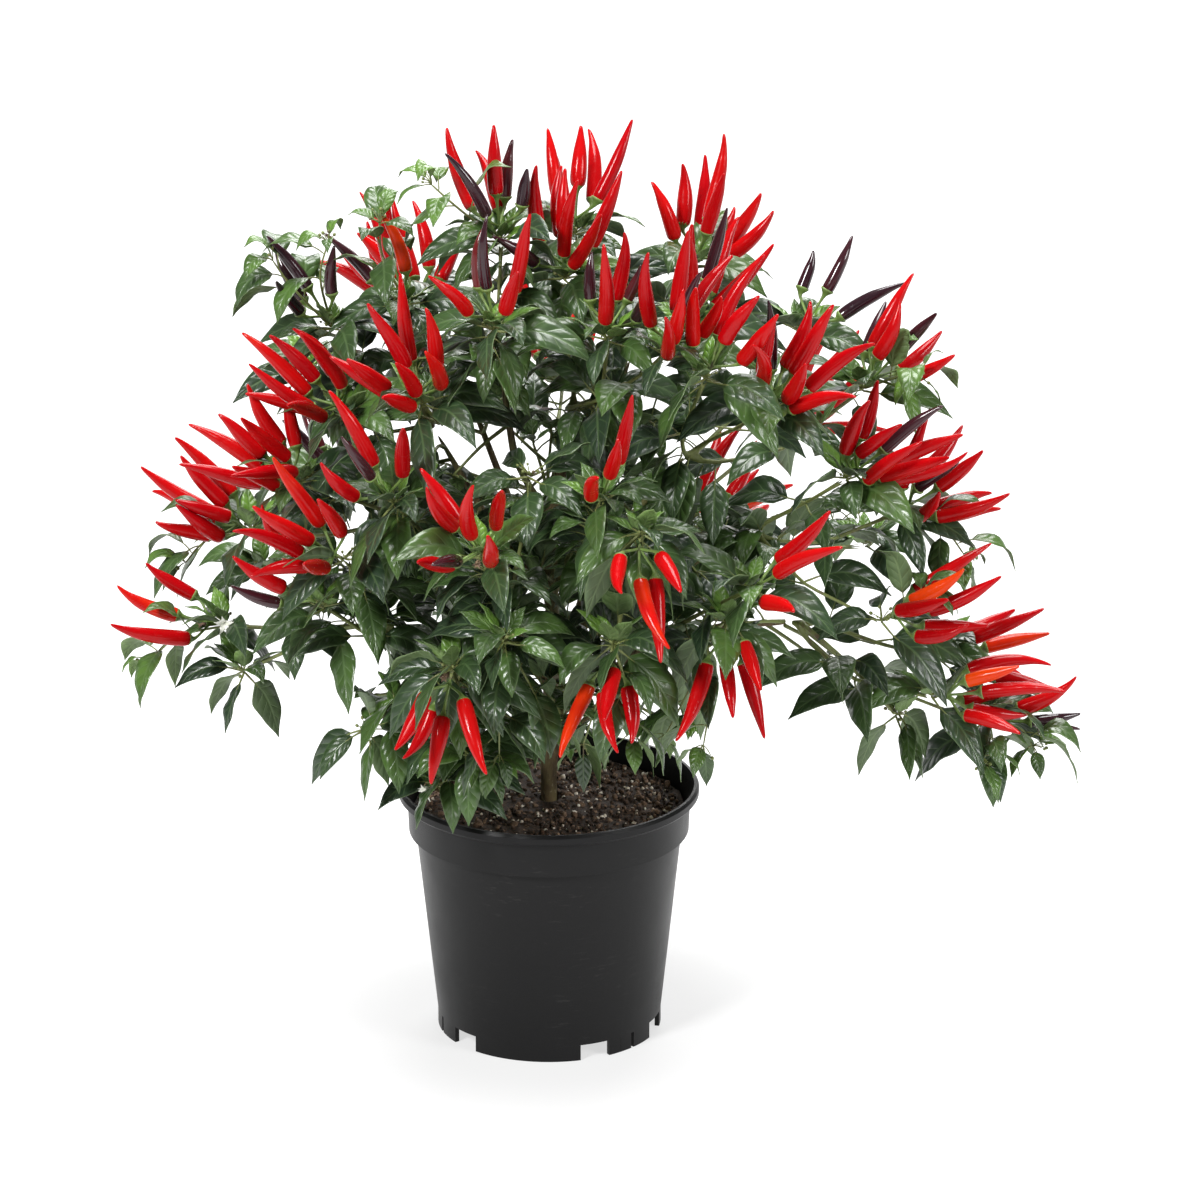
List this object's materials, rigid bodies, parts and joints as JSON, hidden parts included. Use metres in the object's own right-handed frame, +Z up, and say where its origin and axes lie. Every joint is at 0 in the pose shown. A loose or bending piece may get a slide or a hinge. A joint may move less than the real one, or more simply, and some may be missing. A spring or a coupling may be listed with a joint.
{
  "type": "potted chilli pepper plant",
  "caption": "Bushy ornamental chilli pepper plant in a round black nursery pot, with clusters of pointed red and dark fruits standing above pointed green leaves.",
  "frame": {"origin": "on the pot's axis, at the flat pad under its base that rests on the ground", "axes": "+Z up along the pot's axis; +Y towards the plant's back, +X to its right as seen from the front"},
  "size_m": [0.7193, 0.564, 0.7051],
  "materials": {
    "pot_plastic": "satin black moulded plastic with a slight sheen and fine scuffs",
    "soil": "coarse dark brown potting mix with pale bits",
    "bark": "green-brown young bark with darker nodes",
    "leaf": "smooth dark green with a soft sheen and pale veins",
    "fruit_red": "smooth, glossy bright red skin",
    "fruit_dark": "smooth, glossy purple-black skin of unripe fruit"
  },
  "bodies": {
    "root": {"fruits_back_high_left_a": "fruit_red", "fruits_back_high_right_a": "fruit_red", "fruits_back_high_right_b": "fruit_red", "fruits_back_left_a": "fruit_dark", "fruits_back_mid_a": "fruit_red", "fruits_back_right_a": "fruit_red", "fruits_back_right_b": "fruit_red", "fruits_crown_left_a": "fruit_red", "fruits_crown_left_b": "fruit_red", "fruits_crown_mid_a": "fruit_red", "fruits_crown_mid_b": "fruit_red", "fruits_crown_mid_c": "fruit_red", "fruits_crown_mid_d": "fruit_red", "fruits_front_a": "fruit_red", "fruits_front_b": "fruit_red", "fruits_front_c": "fruit_red", "fruits_front_low_left_a": "fruit_red", "fruits_front_mid_a": "fruit_red", "fruits_front_right_a": "fruit_red", "fruits_front_right_b": "fruit_red", "fruits_low_left_a": "fruit_red", "fruits_low_left_b": "fruit_red", "fruits_low_left_c": "fruit_red", "fruits_low_right_a": "fruit_red", "fruits_low_right_b": "fruit_red", "fruits_low_right_c": "fruit_dark", "fruits_mid_left_a": "fruit_red", "fruits_mid_left_b": "fruit_red", "fruits_mid_left_c": "fruit_red", "fruits_mid_right_a": "fruit_red", "fruits_mid_right_b": "fruit_red", "fruits_mid_right_c": "fruit_red", "fruits_upper_left_a": "fruit_red", "fruits_upper_left_b": "fruit_red", "fruits_upper_left_c": "fruit_red", "fruits_upper_left_d": "fruit_dark", "fruits_upper_right_a": "fruit_red", "fruits_upper_right_b": "fruit_red", "fruits_upper_right_c": "fruit_dark", "fruits_upper_right_d": "fruit_red", "pot": "pot_plastic", "potting_soil": "soil", "shoot_back_high_left": "leaf", "shoot_back_high_right": "leaf", "shoot_back_left": "leaf", "shoot_back_mid": "leaf", "shoot_back_right": "leaf", "shoot_crown_left": "leaf", "shoot_crown_mid": "leaf", "shoot_front": "leaf", "shoot_front_low_left": "leaf", "shoot_front_mid": "leaf", "shoot_front_right": "leaf", "shoot_low_left": "leaf", "shoot_low_right": "leaf", "shoot_mid_left": "leaf", "shoot_mid_right": "leaf", "shoot_upper_left": "leaf", "shoot_upper_right": "leaf", "stem": "bark"}
  },
  "joints": []
}
